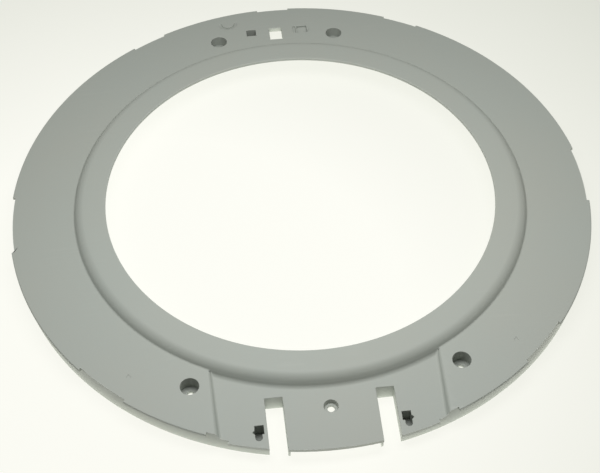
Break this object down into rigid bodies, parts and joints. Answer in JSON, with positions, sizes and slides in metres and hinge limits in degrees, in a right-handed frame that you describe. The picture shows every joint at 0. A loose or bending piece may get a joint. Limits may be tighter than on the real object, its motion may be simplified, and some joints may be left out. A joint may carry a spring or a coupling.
{
  "type": "washing machine inner door frame",
  "caption": "Moulded plastic ring that clamps the glass bowl in a front-loading washing machine's door, with screw pockets, a hinge recess with open slots and a latch opening.",
  "frame": {"origin": "on the ring's axis, in the plane of the skirt's lower edge, on which it lies", "axes": "+Z along the ring's axis to the face towards the drum, +Y to the latch side, +X to the right seen from above with the latch at the top"},
  "size_m": [0.4368, 0.4396, 0.0238],
  "materials": {
    "frame_plastic": "matte"
  },
  "bodies": {
    "root": {"inner_door_frame": "frame_plastic"}
  },
  "joints": []
}
